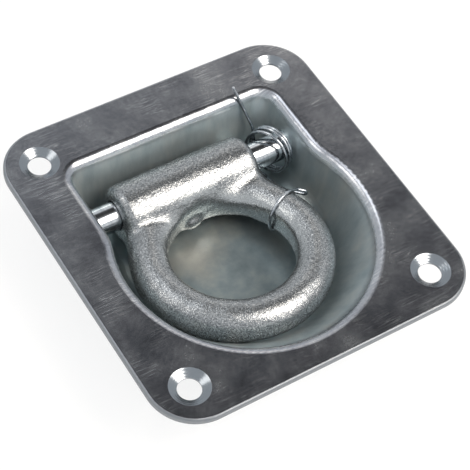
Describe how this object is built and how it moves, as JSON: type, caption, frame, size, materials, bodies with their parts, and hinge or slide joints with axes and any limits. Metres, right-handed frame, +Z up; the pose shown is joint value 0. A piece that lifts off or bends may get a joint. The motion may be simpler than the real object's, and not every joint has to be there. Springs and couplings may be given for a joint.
{
  "type": "recessed lashing ring",
  "caption": "Flush pan with a sprung, hinged forged ring in its recess, screwed down to tie cargo to a vehicle floor.",
  "frame": {"origin": "centre of the four screw holes, on the flange's underside", "axes": "+Z up out of the floor, +Y towards the hinge pin's side of the pan, +X along the pin"},
  "size_m": [0.108, 0.113, 0.0299],
  "materials": {
    "pan_steel": "zinc plated, satin, finely scratched",
    "pin_steel": "bright zinc plate",
    "ring_steel": "shot blasted and zinc plated, grainy",
    "spring_wire": "bright drawn wire"
  },
  "bodies": {
    "pan": {"pan": "pan_steel", "pin": "pin_steel", "spring": "spring_wire"},
    "ring": {"ring": "ring_steel"}
  },
  "joints": [
    {"name": "ring_hinge", "type": "hinge", "parent": "pan", "child": "ring", "pos_m": [0, 0.024, -0.01], "axis": [-1, 0, 0], "range_deg": [0, 125], "stiffness_Nm_per_rad": 0.075, "springref_deg": -45.84, "deforming": ["spring"]}
  ]
}
